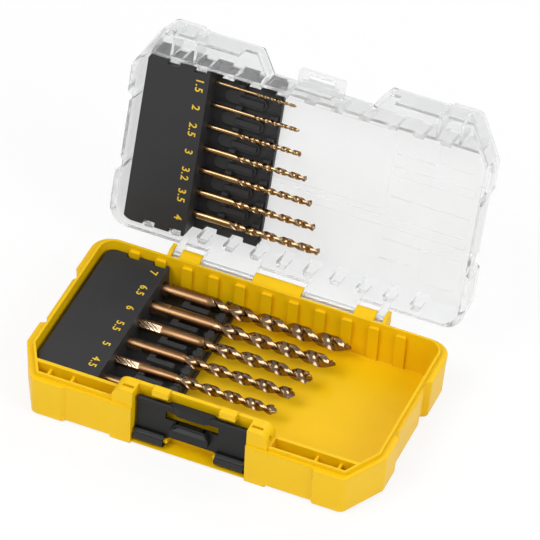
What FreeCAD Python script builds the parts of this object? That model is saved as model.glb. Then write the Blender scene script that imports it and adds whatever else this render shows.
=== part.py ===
import FreeCAD, Part
import math
import os
from FreeCAD import Vector

# A hinged case for twist drills, open on its hinge as it stands in use. Millimetres.
# X runs along the case, with its right-hand end at +X. -Y is the latch side and +Y the hinge side.
# Z is up, with the underside at zero. The lid is drawn closed and then swung open.

# Outline of the case, seen from above
HALF_LENGTH = 89.8        # middle to the end bumpers
HALF_DEPTH = 52.8         # middle to the front bumpers and to the back wall
CORNER_CUT_X = 12.2       # front corners are cut off aslant
CORNER_CUT_Y = 22.4
CORNER_EASE = 4.0         # rounding of the cut corners
BACK_CORNER = 10.0        # rounding of the back corners
PANEL_SET_BACK = 1.6      # flat panels lie this far behind the bumpers
FRONT_BUMPER = 28.8       # length of the front bumpers, with the cut corner
SIDE_PANEL_FRONT = -14.5  # side panel between the end bumpers
SIDE_PANEL_BACK = 25.5
SIDE_GROOVE = 7.5         # groove between side panel and back bumper
SIDE_GROOVE_SINK = 1.2
STEP_SLANT = 1.4          # slant of each step in the outline

# Tray
RIM_Z = 22.5              # shoulder that the lid rests on
LIP = 2.0                 # the lip stands this far above the shoulder
LIP_WALL = 1.2
WALL = 3.0                # wall at the rim, measured from the flat panels
FLOOR = 3.0
TRAY_DRAFT = 1.0          # the walls lean in this much towards the underside
FOOT_BEVEL = 1.4
POCKET_DEPTH = 5.8        # from the front wall to the wall between drills and pockets
INNER_WALL = 2.0
DIVIDERS_FROM_END = (29.3, 17.8)
DIVIDER_WALL = 1.4
DIVIDER_DROP = 2.5

# Latch housing in the middle of the front
RECESS_GAP = 1.0          # between the latch and the post on each side
POST_WIDTH = 10.2
POST_RISE = 8.8           # the posts stand this far above the rim
POST_EASE = 5.0
LEDGE = 1.4               # thin ledge under the latch
POST_SLIT = (5.4, 1.5, 7.0)
POST_SLIT_AT = 1.0         # slit's distance from the latch's side of the post
POST_HOLE_R = 1.3         # small hole in the outer side of each post
POST_HOLE_DEPTH = 2.6
POST_HOLE_DROP = 4.2
HANGER = 1.2              # webs that carry the inner ends of the latch's rods
BLOCK_AT = 16.6           # two small blocks above the latch
BLOCK_SIZE = (8.0, 3.2, 3.4)
BLOCK_RISE = 1.2

# Ribs on the long walls, which locate the racks
RIB_PITCH = 13.5
RIB_WIDTH = 5.6
RIB_NECK = 3.8
RIB_DEPTH = 1.8
RIB_SHIFT = -2.5
RIB_GAP = 1.3              # the lid's ribs end this far above the tray's lip
RIB_DROP = 0.5             # the tray's ribs end this far under its rim
RIB_ROOM = 12.0           # no rib comes nearer than this to the ends

# Lid
LID_HEIGHT = 19.1         # from the rim to the top of the closed case
LID_WALL = 1.5
LID_PLATE = 1.6
LID_DRAFT = 1.3
LID_EDGE = 1.8            # bevel round the plate
TAB_EASE = 2.0
HOUSING_GAP = 0.4         # between the lid and the top of the latch housing
SET_BACK_GAP = 0.4        # front wall in the middle, behind the latch housing
TAB_GAP = 2.5             # the front tabs start this far outside the latch's recess
TAB_SLANT = 6.8           # and run in this far to the set-back wall
LOOP_HALF = 11.5          # loop in the middle of the front
LOOP_REACH = 9.0
LOOP_THICK = 2.0
LOOP_WINDOW = (13.4, 2.3)
LOOP_BAR = 2.2
LOOP_EASE = 1.2
KEEPER_HALF = 9.0         # leg behind the loop, which the latch holds
KEEPER_THICK = 1.1
KEEPER_NOSE = 1.2
OPEN_ANGLE = 105.3        # from closed to the rest on its stop
RELIEF = 0.4              # depth of the panel, bands and lines sunk into the plate's outside
LABEL_PANEL_END = 52.2    # ends of the label panel and bands, from the ends of the case
LABEL_PANEL_FRONT = 24.8  # front of the panel and bands, from the front of the case
LABEL_PANEL_DEPTH = 41.0
LABEL_PANEL_EASE = 5.0
BAND_GAP = 1.8            # between the panel and the bands and lines beside it
BAND_END = 10.8
LONG_BAND_FRONT = 68.6
LONG_BAND_DEPTH = 5.2
SHORT_BAND_FRONT = 42.4
SHORT_BAND_DEPTH = 4.5
LINE_WIDTH = 0.6
PLATE_LINES = ((10.8, 57.8), (31.4, 35.9), (31.4, 80.2), (34.8, 90.4))
CORNER_PAD = 20.6         # corner pads: length, distance from the end, and their front and depth
CORNER_PAD_END = 9.8
CORNER_PAD_FRONTS = ((15.8, 19.0), (80.0, 16.8))
CORNER_PAD_EASE = 5.0

# Hinge
HINGE_OUT = 4.8           # hinge line behind the back wall
HINGE_DROP = 2.1          # and below the rim
KNUCKLE_R = 3.4
ARM_ROOT = 9.0            # the tray's hinge arms start this far below the hinge line
ARM_GRIP = 1.0            # and this deep in its wall
ARM_DROP = 0.4            # and end this far under its rim
HINGE_PIN_R = 1.25
HINGE_CLEAR = 0.05
BASE_KNUCKLES = ((-12.4, 12.4), (38.9, 49.5), (-49.5, -38.9))
LID_KNUCKLES = ((12.4, 38.9), (-38.9, -12.4), (49.5, 53.2), (-53.2, -49.5))
ARM_RISE = 7.0              # the lid's hinge arms run this far up its back wall
ARM_LEAN = 0.4
EAR_GAP = 0.1             # between the last knuckle and the ear beside it
EAR_WALL = 1.8

# Latch
LATCH_HALF = 27.3
LATCH_STAND = 3.8         # front of the latch, ahead of the wall behind it
LATCH_PLATE = 1.5
LATCH_TOP_DROP = 4.0      # top of the latch, below the top of the posts
LATCH_CROWN = 1.5         # the middle of the top bar rises this much
LATCH_EASE = 1.0
LATCH_LIP_HALF = 10.4     # finger lip on the top bar
LATCH_LIP = 2.2
LATCH_LIP_EASE = 4.0
WINDOW_HALF = 13.0
WINDOW_DROP = 4.4         # window, below the top of the latch
WINDOW_HEIGHT = 4.6
FOOT_WIDTH = 14.5
PIVOT_AHEAD = 0.2         # pivot, ahead of the front of the latch
PIVOT_Z = 5.0
FOOT_R = 3.1
STUB_R = 1.2
STUB_CLEAR = 0.08
FOOT_MOUTH = 1.5
SCOOP_TOP_HALF = 5.6
SCOOP_LOW_HALF = 9.4
SCOOP_REACH = 3.4
SCOOP_HEIGHT = 6.5
SCOOP_FRONT = 3.9         # height of its upright front face
SCOOP_BRIM = 0.3
LATCH_BAR = (0.9, 3.4, 0.5)   # top bar: how far it stands out, its height and its slant
ARCH = 2.5                # arch between the feet
ARCH_EASE = 2.0

# Racks
CLEAR = 0.3               # between pieces that come apart
RACK_END = 1.4            # between the racks and the end wall
BLOCK_WIDTH = 31.2        # block with the sizes on it
BASE_RACK_DROP = 4.3      # top of the base rack, below the lip
BASE_COMB = 34.5
RACKS_APART = 4.4         # between the two racks in the closed case
LID_COMB = 33.4
RACK_WALL = 1.8
DECK = 3.0
BASE_AXIS_RISE = 9.27     # drill axes, above the seat of their rack
LID_AXIS_RISE = 6.37
SEAT_GAP = 0.03              # gap under a rack that rests in its half of the case
SOCKET_CLEAR = 0.15
SADDLE = 3.0              # width of the saddles that hold the drills
SADDLE_WALL = 1.5
SADDLE_AT = 0.36          # place of the inner saddles along the deck, as a share of it
SADDLE_END = 1.0
TONGUE_WIDTH = 6.6        # round-ended tongues between the drills
TONGUE_AT = 5.0
TONGUE_END = 7.0
TONGUE_RISE = 1.1
BAR_WIDTH = 2.8           # bars on the tongues
BAR_AT = 12.5
BAR_END = 8.5
BASE_BAR_RISE = 7.0
LID_BAR_RISE = 2.2
PEG_R = 2.2
PEG_EDGE = 0.4

# Twist drills: diameter, whole length, fluted length and reach beyond the block
BASE_DRILLS = ((7.0, 109.0, 69.0, 95.5), (6.5, 101.0, 63.0, 93.1), (6.0, 93.0, 57.0, 87.0),
               (5.5, 93.0, 57.0, 83.9), (5.0, 86.0, 52.0, 80.5), (4.5, 80.0, 47.0, 73.0))
LID_DRILLS = ((4.0, 75.0, 43.0, 64.4), (3.5, 70.0, 39.0, 60.2), (3.2, 65.0, 36.0, 56.6),
              (3.0, 61.0, 33.0, 52.0), (2.5, 57.0, 30.0, 47.4), (2.0, 49.0, 24.0, 44.5),
              (1.5, 45.5, 20.0, 41.0))
BASE_ROW_FRONT = 12.975   # axis of the first and last drill, from the front and back of their rack
BASE_ROW_BACK = 7.375
LID_ROW_FRONT = 8.25
LID_ROW_BACK = 9.05
HELIX_ANGLE = 33.0
POINT_ANGLE = 135.0
WEB_SHARE = 0.34          # core between the flutes, as a share of the diameter
FLUTES_STEP = 30.0        # turn between the sections of a fluted body
FLAT_LENGTH = 18.0        # three flats on the shanks of the larger drills
FLAT_FROM = 4.5           # smallest drill with flats
FLAT_SHARE = 0.9          # distance of the flats from the axis, as a share of the radius
LAND_HALF = 32.0          # half the angle of each land
CHISEL_SHARE = 0.08

# Sizes worked out from those above
PANEL_FRONT = HALF_DEPTH - PANEL_SET_BACK
PANEL_HALF = HALF_LENGTH - PANEL_SET_BACK
FRONT_BUMPER_AT = HALF_LENGTH - FRONT_BUMPER
INNER_BACK_Y = HALF_DEPTH - WALL
INNER_WALL_Y = -PANEL_FRONT + WALL + POCKET_DEPTH
CAVITY_FRONT = INNER_WALL_Y + INNER_WALL
POCKET_DIVIDERS = tuple(HALF_LENGTH - at for at in DIVIDERS_FROM_END)
LIP_Z = RIM_Z + LIP
LID_RIM = RIM_Z + CLEAR
LID_TOP = RIM_Z + LID_HEIGHT
RECESS_HALF = LATCH_HALF + RECESS_GAP
POST_HALF = RECESS_HALF + POST_WIDTH
POST_Z = RIM_Z + POST_RISE
SET_BACK_Y = CAVITY_FRONT + SET_BACK_GAP
TAB_AT = RECESS_HALF + TAB_GAP
SET_BACK_HALF = TAB_AT - TAB_SLANT
HINGE_Y = HALF_DEPTH + HINGE_OUT
HINGE_Z = RIM_Z - HINGE_DROP
EAR_AT = LID_KNUCKLES[2][1] + EAR_WALL / 2 + EAR_GAP
LATCH_FRONT = INNER_WALL_Y - LATCH_STAND
LATCH_TOP = POST_Z - LATCH_TOP_DROP
WINDOW_Z = (LATCH_TOP - WINDOW_DROP - WINDOW_HEIGHT, LATCH_TOP - WINDOW_DROP)
SCOOP_LOW = WINDOW_Z[0] - SCOOP_HEIGHT
FOOT_INNER = LATCH_HALF - FOOT_WIDTH
PIVOT_Y = LATCH_FRONT - PIVOT_AHEAD
RACK_LEFT = -PANEL_HALF + WALL + TRAY_DRAFT + RACK_END
BLOCK_FACE = RACK_LEFT + BLOCK_WIDTH
BASE_RACK_TOP = LIP_Z - BASE_RACK_DROP
LID_RACK_FACE = BASE_RACK_TOP + RACKS_APART
BASE_AXIS_Z = FLOOR + SEAT_GAP + BASE_AXIS_RISE
LID_INNER_BACK = HALF_DEPTH - LID_WALL - LID_DRAFT
LID_INNER_FRONT = SET_BACK_Y + LID_WALL + LID_DRAFT
BASE_RACK_FRONT = CAVITY_FRONT + CLEAR
BASE_RACK_INSET = WALL + TRAY_DRAFT + CLEAR
LID_RACK_FRONT = LID_INNER_FRONT + CLEAR
LID_RACK_INSET = LID_WALL + LID_DRAFT + CLEAR
SMALL = 0.01


def rounded(points, z):
    """Closed wire through (x, y, radius) points at height z, with arcs where the radius isn't zero."""
    count = len(points)
    ends = []
    for i in range(count):
        x, y, radius = points[i]
        here = Vector(x, y, z)
        before = Vector(points[i - 1][0], points[i - 1][1], z)
        after = Vector(points[(i + 1) % count][0], points[(i + 1) % count][1], z)
        if radius <= 0:
            ends.append((here, None, here))
            continue
        back = (before - here).normalize()
        ahead = (after - here).normalize()
        half = back.getAngle(ahead) / 2
        run = radius / math.tan(half)
        middle = (back + ahead).normalize()
        apex = here + middle * (radius / math.sin(half) - radius)
        ends.append((here + back * run, apex, here + ahead * run))
    edges = []
    for i in range(count):
        first, apex, last = ends[i]
        if apex is not None:
            edges.append(Part.Arc(first, apex, last).toShape())
        edges.append(Part.LineSegment(last, ends[(i + 1) % count][0]).toShape())
    return Part.Wire(edges)


def prism(points, z0, z1):
    """Upright solid on a rounded outline."""
    return Part.Face(rounded(points, z0)).extrude(Vector(0, 0, z1 - z0))


def box(x0, x1, y0, y1, z0, z1):
    return Part.makeBox(x1 - x0, y1 - y0, z1 - z0, Vector(x0, y0, z0))


def rectangle(x0, x1, y0, y1, radius):
    return [(x0, y0, radius), (x1, y0, radius), (x1, y1, radius), (x0, y1, radius)]


def side_profile(points, x0, x1):
    """Solid along X on a closed outline of (y, z) points."""
    corners = [Vector(x0, y, z) for y, z in points]
    face = Part.Face(Part.makePolygon(corners + corners[:1]))
    return face.extrude(Vector(x1 - x0, 0, 0))


def front_profile(points, y0, y1):
    """Solid along Y on a closed outline of (x, z, radius) points."""
    flat = Part.Face(rounded(points, 0)).extrude(Vector(0, 0, y1 - y0))
    flat.rotate(Vector(0, 0, 0), Vector(1, 0, 0), 90)
    flat.translate(Vector(0, y1, 0))
    return flat


def along_x(radius, x0, x1, y, z):
    return Part.makeCylinder(radius, x1 - x0, Vector(x0, y, z), Vector(1, 0, 0))


def mirrored(shape):
    return shape.mirror(Vector(0, 0, 0), Vector(1, 0, 0))


def both_sides(shape):
    return [shape, mirrored(shape)]


def fused(shapes):
    whole = shapes[0].fuse(shapes[1:])
    return whole.removeSplitter()


def corner_x(y, inset):
    """X of the slanting corner line, moved in by inset, at depth y."""
    length = math.hypot(CORNER_CUT_X, CORNER_CUT_Y)
    nx, ny = -CORNER_CUT_Y / length, CORNER_CUT_X / length
    return HALF_LENGTH - CORNER_CUT_X + (inset - (y + HALF_DEPTH) * ny) / nx


def corner_y(x, inset):
    """Y of the slanting corner line, moved in by inset, at length x."""
    length = math.hypot(CORNER_CUT_X, CORNER_CUT_Y)
    nx, ny = -CORNER_CUT_Y / length, CORNER_CUT_X / length
    return -HALF_DEPTH + (inset - (x - HALF_LENGTH + CORNER_CUT_X) * nx) / ny


def closed_outline(right):
    """Whole outline from the points of its right-hand half, which run from front to back."""
    left = [(-x, y, radius) for x, y, radius in reversed(right)]
    return right + left


def outer_points(inset, middle):
    """Right-hand half of the outer outline, moved in by inset, after the points of its middle."""
    end = HALF_LENGTH - inset
    panel = PANEL_HALF - inset
    groove = panel - SIDE_GROOVE_SINK
    front = -HALF_DEPTH + inset
    groove_front = SIDE_PANEL_BACK - SIDE_GROOVE
    return middle + [
        (FRONT_BUMPER_AT, -PANEL_FRONT + inset, 0),
        (FRONT_BUMPER_AT + STEP_SLANT, front, 0),
        (corner_x(front, inset), front, CORNER_EASE),
        (end, corner_y(end, inset), CORNER_EASE),
        (end, SIDE_PANEL_FRONT - STEP_SLANT, 0),
        (groove, SIDE_PANEL_FRONT, 0),
        (groove, SIDE_PANEL_FRONT + STEP_SLANT, 0),
        (panel, SIDE_PANEL_FRONT + 2 * STEP_SLANT, 0),
        (panel, groove_front, 0),
        (groove, groove_front + STEP_SLANT, 0),
        (groove, SIDE_PANEL_BACK - STEP_SLANT, 0),
        (end, SIDE_PANEL_BACK, 0),
        (end, HALF_DEPTH - inset, BACK_CORNER - inset)]


def plain_points(inset, front):
    """Right-hand half of the outline of the flat panels, moved in by inset, from a given front."""
    end = PANEL_HALF - inset
    slant = inset + PANEL_SET_BACK / 2
    return [(corner_x(front, slant), front, 0),
            (end, corner_y(end, slant), 0),
            (end, HALF_DEPTH - inset, BACK_CORNER - inset)]


def tray_shell():
    """The tray with its floor, walls, lip, pockets and wall between drills and pockets."""
    def outer(inset, z):
        return rounded(closed_outline(outer_points(inset, [])), z)

    shell = Part.makeLoft([outer(TRAY_DRAFT + FOOT_BEVEL, 0), outer(TRAY_DRAFT, FOOT_BEVEL), outer(0, RIM_Z)],
                          True, True)
    lip = prism(closed_outline(plain_points(WALL - LIP_WALL, -PANEL_FRONT + WALL - LIP_WALL)), FLOOR, LIP_Z)
    shell = shell.fuse(lip)

    def cavity(inset, z):
        return rounded(closed_outline(plain_points(inset, CAVITY_FRONT)), z)

    room = Part.makeLoft([cavity(WALL + TRAY_DRAFT, FLOOR), cavity(WALL, LIP_Z + SMALL)], True, True)
    back = -PANEL_FRONT + WALL
    pocket = prism([(POST_HALF + LIP_WALL, back, 0), (corner_x(back, WALL + PANEL_SET_BACK / 2), back, 0),
                    (corner_x(INNER_WALL_Y, WALL + PANEL_SET_BACK / 2), INNER_WALL_Y, 0),
                    (POST_HALF + LIP_WALL, INNER_WALL_Y, 0)], FLOOR, LIP_Z + SMALL)
    shell = shell.cut([room] + both_sides(pocket))
    dividers = []
    for at in POCKET_DIVIDERS:
        wall = box(at - DIVIDER_WALL / 2, at + DIVIDER_WALL / 2, back - SMALL, INNER_WALL_Y + SMALL,
                   FLOOR - SMALL, LIP_Z - DIVIDER_DROP)
        dividers += both_sides(wall)
    return shell.fuse(dividers)


def rib_middles():
    """X of the middle of each rib, as many as there is room for."""
    half = HALF_LENGTH - RIB_ROOM - RIB_WIDTH / 2
    first = math.ceil((-half - RIB_SHIFT) / RIB_PITCH)
    last = math.floor((half - RIB_SHIFT) / RIB_PITCH)
    return [RIB_SHIFT + RIB_PITCH * i for i in range(first, last + 1)]


def wall_ribs(wall_y, inward, root_depth, z0, z1):
    """Row of ribs with flared heads on a long wall, rooted in it. inward is the way that they stand out."""
    ribs = []
    for middle in rib_middles():
        root = wall_y - inward * root_depth
        head = wall_y + inward * RIB_DEPTH
        points = [(middle - RIB_NECK / 2, root, 0), (middle + RIB_NECK / 2, root, 0),
                  (middle + RIB_WIDTH / 2, head, 0), (middle - RIB_WIDTH / 2, head, 0)]
        if inward < 0:
            points.reverse()
        ribs.append(prism(points, z0, z1))
    return ribs


def latch_housing():
    """Posts, raised wall and blocks round the latch, and the room to cut out of the tray for it."""
    front = -PANEL_FRONT
    post = front_profile([(RECESS_HALF, 0, 0), (POST_HALF, 0, 0), (POST_HALF, POST_Z, POST_EASE),
                          (RECESS_HALF, POST_Z, 0)], front + TRAY_DRAFT, CAVITY_FRONT)
    length, width, depth = POST_SLIT
    slit_x = RECESS_HALF + POST_SLIT_AT
    slit = box(slit_x, slit_x + length, LATCH_FRONT - width / 2, LATCH_FRONT + width / 2,
               POST_Z - depth, POST_Z + SMALL)
    hole = along_x(POST_HOLE_R, POST_HALF - POST_HOLE_DEPTH, POST_HALF + SMALL, LATCH_FRONT,
                   POST_Z - POST_HOLE_DROP)
    post = post.cut([slit, hole])
    end = RECESS_HALF + INNER_WALL
    raised = front_profile([(-end, LEDGE, 0), (end, LEDGE, 0), (end, POST_Z, POST_EASE / 2),
                            (-end, POST_Z, POST_EASE / 2)], INNER_WALL_Y, CAVITY_FRONT)
    wide, deep, high = BLOCK_SIZE
    block = box(BLOCK_AT - wide / 2, BLOCK_AT + wide / 2, INNER_WALL_Y - deep, INNER_WALL_Y + INNER_WALL / 2,
                POST_Z + BLOCK_RISE - high, POST_Z + BLOCK_RISE)
    inner = FOOT_INNER - CLEAR
    stub = along_x(STUB_R, inner - HANGER, RECESS_HALF + SMALL, PIVOT_Y, PIVOT_Z)
    hanger = side_profile([(PIVOT_Y, PIVOT_Z - STUB_R), (INNER_WALL_Y + SMALL, PIVOT_Z - STUB_R),
                           (INNER_WALL_Y + SMALL, PIVOT_Z + STUB_R), (PIVOT_Y, PIVOT_Z + STUB_R)],
                          inner - HANGER, inner)
    room = box(-RECESS_HALF, RECESS_HALF, -HALF_DEPTH - 1, INNER_WALL_Y, LEDGE, LIP_Z + 1)
    return room, both_sides(post) + [raised] + both_sides(block) + both_sides(stub) + both_sides(hanger)


def hinge_arm(spans, wall_points, gap):
    """Knuckles with arms to a wall, over the given spans of X, each shortened by gap at both ends."""
    arms = []
    for x0, x1 in spans:
        arm = side_profile(wall_points, x0 + gap, x1 - gap)
        barrel = along_x(KNUCKLE_R, x0 + gap, x1 - gap, HINGE_Y, HINGE_Z)
        arms.append(arm.fuse(barrel))
    return arms


def base_tray():
    """The yellow tray: walls, ribs, latch housing and its half of the hinge."""
    room, housing = latch_housing()
    shell = tray_shell().cut(room)
    rib_top = RIM_Z - RIB_DROP
    ribs = wall_ribs(INNER_BACK_Y, -1, LIP_WALL / 2, FLOOR - SMALL, rib_top)
    ribs += wall_ribs(CAVITY_FRONT, 1, INNER_WALL / 2, FLOOR - SMALL, rib_top)
    wall = HALF_DEPTH - ARM_GRIP
    root = (wall, HINGE_Z - ARM_ROOT)
    top = (wall, RIM_Z - ARM_DROP)
    arm = [root, (HINGE_Y + KNUCKLE_R * 0.4, HINGE_Z - KNUCKLE_R * 0.9), (HINGE_Y, HINGE_Z),
           (HINGE_Y - KNUCKLE_R * 0.5, HINGE_Z + KNUCKLE_R * 0.86), top]
    knuckles = hinge_arm(BASE_KNUCKLES, arm, CLEAR / 2)
    ear = side_profile([root, (HINGE_Y + KNUCKLE_R, HINGE_Z - KNUCKLE_R),
                        (HINGE_Y + KNUCKLE_R, HINGE_Z + KNUCKLE_R),
                        (HINGE_Y - KNUCKLE_R * 0.4, HINGE_Z + KNUCKLE_R), top],
                       EAR_AT - EAR_WALL / 2 + CLEAR, EAR_AT + EAR_WALL / 2 + CLEAR)
    whole = fused([shell] + ribs + housing + knuckles + both_sides(ear))
    bore = along_x(HINGE_PIN_R + HINGE_CLEAR, -EAR_AT, EAR_AT, HINGE_Y, HINGE_Z)
    return whole.cut(bore)


def plate_relief():
    """Shallow panel, bands, lines and corner pads to sink into the outside of the lid's plate."""
    low = LID_TOP - RELIEF
    high = LID_TOP + 1
    panel = HALF_LENGTH - LABEL_PANEL_END
    start = panel + BAND_GAP
    end = HALF_LENGTH - BAND_END
    front = -HALF_DEPTH + LABEL_PANEL_FRONT
    cuts = [prism(rectangle(-panel, panel, front, front + LABEL_PANEL_DEPTH, LABEL_PANEL_EASE), low, high)]
    front = -HALF_DEPTH + LONG_BAND_FRONT
    cuts.append(box(-end, end, front, front + LONG_BAND_DEPTH, low, high))
    front = -HALF_DEPTH + SHORT_BAND_FRONT
    cuts += both_sides(box(start, end, front, front + SHORT_BAND_DEPTH, low, high))
    for from_end, from_front in PLATE_LINES:
        front = -HALF_DEPTH + from_front - LINE_WIDTH / 2
        cuts += both_sides(box(start, HALF_LENGTH - from_end, front, front + LINE_WIDTH, low, high))
    end = HALF_LENGTH - CORNER_PAD_END
    for from_front, depth in CORNER_PAD_FRONTS:
        front = -HALF_DEPTH + from_front
        outline = rectangle(end - CORNER_PAD, end, front, front + depth, CORNER_PAD_EASE)
        cuts += both_sides(prism(outline, low, high))
    return cuts


def lid_shell():
    """The clear lid, drawn closed: plate, walls, front tabs, loop with keeper, ribs and hinge half."""
    def middle(inset):
        return [(SET_BACK_HALF + inset, SET_BACK_Y + inset, 0),
                (TAB_AT + inset, -PANEL_FRONT + inset, TAB_EASE)]

    def outer(inset, z):
        return rounded(closed_outline(outer_points(inset, middle(inset))), z)

    shell = Part.makeLoft([outer(0, LID_RIM), outer(LID_DRAFT, LID_TOP - LID_EDGE),
                           outer(LID_DRAFT + LID_EDGE, LID_TOP)], True, True)

    def inner(inset, z):
        points = middle(inset) + plain_points(inset, -PANEL_FRONT + inset)
        return rounded(closed_outline(points), z)

    room = Part.makeLoft([inner(LID_WALL, LID_RIM - SMALL),
                          inner(LID_WALL + LID_DRAFT, LID_TOP - LID_PLATE)], True, True)
    loop_low = POST_Z + HOUSING_GAP
    notch_half = POST_HALF + HOUSING_GAP
    notch = box(-notch_half, notch_half, -HALF_DEPTH - 1, SET_BACK_Y - SMALL, LID_RIM - 1, loop_low)
    shell = shell.cut([room, notch] + plate_relief())

    loop_front = SET_BACK_Y - LOOP_REACH
    loop = prism(rectangle(-LOOP_HALF, LOOP_HALF, loop_front, SET_BACK_Y + LID_WALL, LOOP_EASE),
                 loop_low, loop_low + LOOP_THICK)
    wide, deep = LOOP_WINDOW
    window_front = loop_front + LOOP_BAR
    window = box(-wide / 2, wide / 2, window_front, window_front + deep,
                 loop_low - 1, loop_low + LOOP_THICK + 1)
    loop = loop.cut(window)
    keeper_front = LATCH_FRONT + LATCH_PLATE + CLEAR
    nose_top = WINDOW_Z[1] - CLEAR
    keeper = side_profile([(keeper_front + KEEPER_THICK, loop_low + SMALL), (keeper_front, loop_low + SMALL),
                           (keeper_front, nose_top), (keeper_front - KEEPER_NOSE, nose_top),
                           (keeper_front, nose_top - 2 * KEEPER_NOSE),
                           (keeper_front + KEEPER_THICK, nose_top - 2 * KEEPER_NOSE)],
                          -KEEPER_HALF, KEEPER_HALF)

    ribs_low = LIP_Z + RIB_GAP
    ribs_top = LID_TOP - LID_PLATE + SMALL
    ribs = wall_ribs(LID_INNER_BACK, -1, LID_DRAFT, ribs_low, ribs_top)
    ribs += wall_ribs(LID_INNER_FRONT, 1, LID_WALL / 2, ribs_low, ribs_top)
    divider_front = -PANEL_FRONT + LID_WALL / 2
    inside = corner_x(SET_BACK_Y, LID_WALL + PANEL_SET_BACK / 2)
    walls = both_sides(box(SET_BACK_HALF, inside, LID_INNER_FRONT - LID_WALL, LID_INNER_FRONT,
                           LIP_Z + 2 * CLEAR, ribs_top))
    for at in POCKET_DIVIDERS:
        walls += both_sides(box(at - DIVIDER_WALL / 2, at + DIVIDER_WALL / 2, divider_front,
                                LID_INNER_FRONT - LID_WALL / 2, LIP_Z + 2 * CLEAR, ribs_top))
    wall = HALF_DEPTH - LID_WALL * 0.6
    arm = [(wall, LID_RIM + SMALL), (HALF_DEPTH + CLEAR, LID_RIM + SMALL),
           (HINGE_Y - KNUCKLE_R * 0.95, HINGE_Z - KNUCKLE_R * 0.2), (HINGE_Y, HINGE_Z),
           (HINGE_Y + KNUCKLE_R * 0.5, HINGE_Z + KNUCKLE_R * 0.86), (wall - ARM_LEAN, LID_RIM + ARM_RISE)]
    knuckles = hinge_arm(LID_KNUCKLES, arm, CLEAR / 2)
    whole = fused([shell, loop, keeper] + walls + ribs + knuckles)
    bore = along_x(HINGE_PIN_R + HINGE_CLEAR, -EAR_AT, EAR_AT, HINGE_Y, HINGE_Z)
    return whole.cut(bore)


def hinge_pin():
    reach = EAR_AT - EAR_WALL / 2 + CLEAR / 2
    return along_x(HINGE_PIN_R, -reach, reach, HINGE_Y, HINGE_Z)


def latch():
    """The black latch: plate with window and finger lip, scoop, and two feet that clip on the stubs."""
    back = LATCH_FRONT + LATCH_PLATE
    low = PIVOT_Z
    crown = LATCH_TOP + LATCH_CROWN
    plate = front_profile([(-LATCH_HALF, low, 0), (-FOOT_INNER, low, 0), (-FOOT_INNER, low + ARCH, ARCH_EASE),
                           (FOOT_INNER, low + ARCH, ARCH_EASE), (FOOT_INNER, low, 0), (LATCH_HALF, low, 0),
                           (LATCH_HALF, LATCH_TOP, LATCH_EASE), (LATCH_LIP_HALF + 2, LATCH_TOP, 0),
                           (LATCH_LIP_HALF, crown, 0), (-LATCH_LIP_HALF, crown, 0),
                           (-LATCH_LIP_HALF - 2, LATCH_TOP, 0), (-LATCH_HALF, LATCH_TOP, LATCH_EASE)],
                          LATCH_FRONT, back)
    window = box(-WINDOW_HALF, WINDOW_HALF, LATCH_FRONT - 1, back + 1, WINDOW_Z[0], WINDOW_Z[1])
    stand, high, slant = LATCH_BAR
    bar = side_profile([(LATCH_FRONT + SMALL, LATCH_TOP - high),
                        (LATCH_FRONT - stand, LATCH_TOP - high + slant),
                        (LATCH_FRONT - stand, LATCH_TOP - slant), (LATCH_FRONT + SMALL, LATCH_TOP)],
                       -LATCH_HALF, LATCH_HALF)
    lip_end = LATCH_LIP_HALF - LATCH_LIP_EASE
    lip_front = LATCH_FRONT - LATCH_LIP
    lip = prism([(-LATCH_LIP_HALF, LATCH_FRONT + SMALL, 0), (-lip_end, lip_front, LATCH_LIP_EASE),
                 (lip_end, lip_front, LATCH_LIP_EASE), (LATCH_LIP_HALF, LATCH_FRONT + SMALL, 0)],
                WINDOW_Z[1] + LATCH_EASE, crown)
    brow = SCOOP_LOW + SCOOP_FRONT
    top = Part.makePolygon([Vector(-SCOOP_TOP_HALF, LATCH_FRONT + SMALL, WINDOW_Z[0]),
                            Vector(SCOOP_TOP_HALF, LATCH_FRONT + SMALL, WINDOW_Z[0]),
                            Vector(SCOOP_TOP_HALF, LATCH_FRONT - SCOOP_BRIM, WINDOW_Z[0]),
                            Vector(-SCOOP_TOP_HALF, LATCH_FRONT - SCOOP_BRIM, WINDOW_Z[0]),
                            Vector(-SCOOP_TOP_HALF, LATCH_FRONT + SMALL, WINDOW_Z[0])])
    foot = Part.makePolygon([Vector(-SCOOP_LOW_HALF, LATCH_FRONT + SMALL, brow),
                             Vector(SCOOP_LOW_HALF, LATCH_FRONT + SMALL, brow),
                             Vector(SCOOP_LOW_HALF, LATCH_FRONT - SCOOP_REACH, brow),
                             Vector(-SCOOP_LOW_HALF, LATCH_FRONT - SCOOP_REACH, brow),
                             Vector(-SCOOP_LOW_HALF, LATCH_FRONT + SMALL, brow)])
    scoop = Part.makeLoft([foot, top], True, True)
    scoop = scoop.fuse(box(-SCOOP_LOW_HALF, SCOOP_LOW_HALF, LATCH_FRONT - SCOOP_REACH, LATCH_FRONT + SMALL,
                           SCOOP_LOW, brow))
    feet = []
    for start in (FOOT_INNER, -LATCH_HALF):
        feet.append(along_x(FOOT_R, start, start + LATCH_HALF - FOOT_INNER, PIVOT_Y, PIVOT_Z))
    whole = fused([plate.cut(window), bar, lip, scoop] + feet)
    mouth = box(-LATCH_HALF - 1, LATCH_HALF + 1, PIVOT_Y - FOOT_R - 1, PIVOT_Y, PIVOT_Z + STUB_R * 0.2,
                PIVOT_Z + STUB_R * 0.2 + FOOT_MOUTH)
    bores = along_x(STUB_R + STUB_CLEAR, -LATCH_HALF - 1, LATCH_HALF + 1, PIVOT_Y, PIVOT_Z)
    return whole.cut([mouth, bores])


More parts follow.
